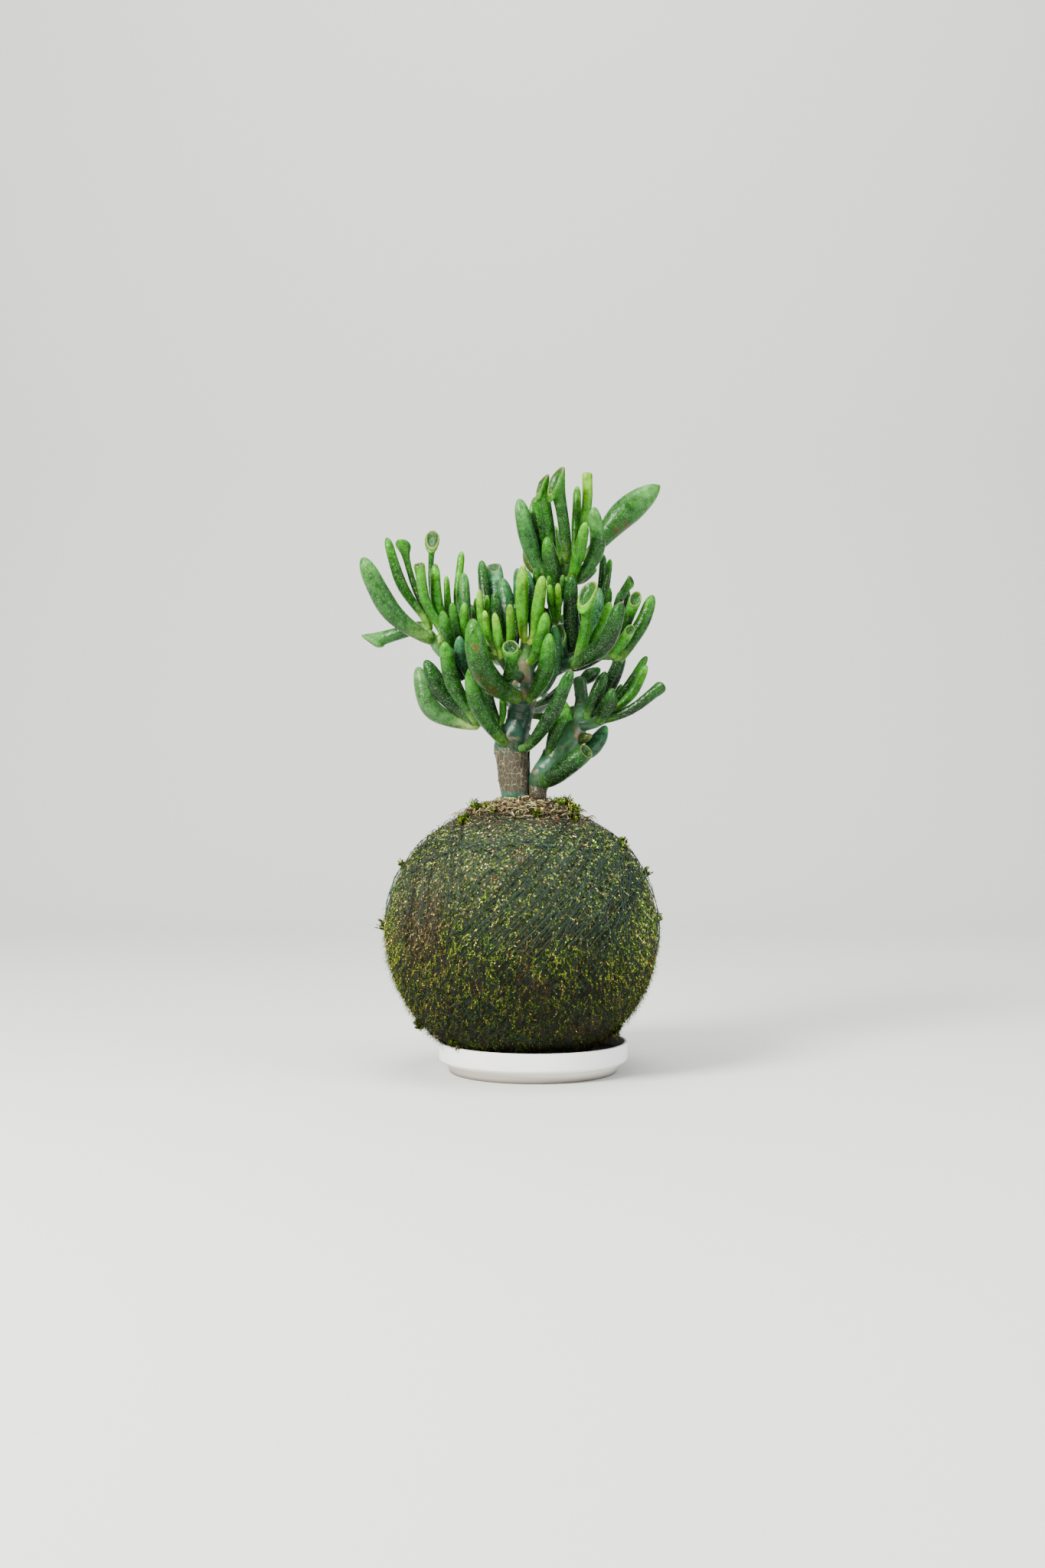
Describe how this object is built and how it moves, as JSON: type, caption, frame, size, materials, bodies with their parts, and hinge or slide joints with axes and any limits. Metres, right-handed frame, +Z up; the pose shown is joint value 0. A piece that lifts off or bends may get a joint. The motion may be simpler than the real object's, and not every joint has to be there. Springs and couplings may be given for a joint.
{
  "type": "kokedama moss ball plant",
  "caption": "Finger-leaved jade plant growing from a thread-bound moss ball that stands in a low round stepped saucer.",
  "frame": {"origin": "middle of the saucer's flat underside", "axes": "+Z up, the front of the plant looks along -Y, +X to the viewer's right"},
  "size_m": [0.1583, 0.1446, 0.3144],
  "materials": {
    "white_glaze": "satin",
    "damp_soil": "matte",
    "moss": "matte",
    "bark_bits": "matte",
    "thread": "matte",
    "stem_bark": "matte",
    "leaf_young": "satin",
    "leaf_mid": "satin",
    "leaf_dark": "satin"
  },
  "bodies": {
    "root": {"saucer": "white_glaze", "soil_core": "damp_soil", "moss_ball": "moss", "top_dressing": "bark_bits", "binding_thread": "thread", "main_stem": "stem_bark", "shoot_leader": "leaf_young", "shoot_left": "leaf_mid", "shoot_low_left": "leaf_mid", "shoot_front_left": "leaf_young", "shoot_centre_left": "leaf_mid", "shoot_top": "leaf_mid", "shoot_right": "leaf_dark", "shoot_far_right": "leaf_mid", "branch_lower_right": "leaf_dark", "shoot_back_left": "leaf_mid", "shoot_back_right": "leaf_dark", "shoot_back_low": "leaf_dark", "shoot_back_top": "leaf_mid"}
  },
  "joints": []
}
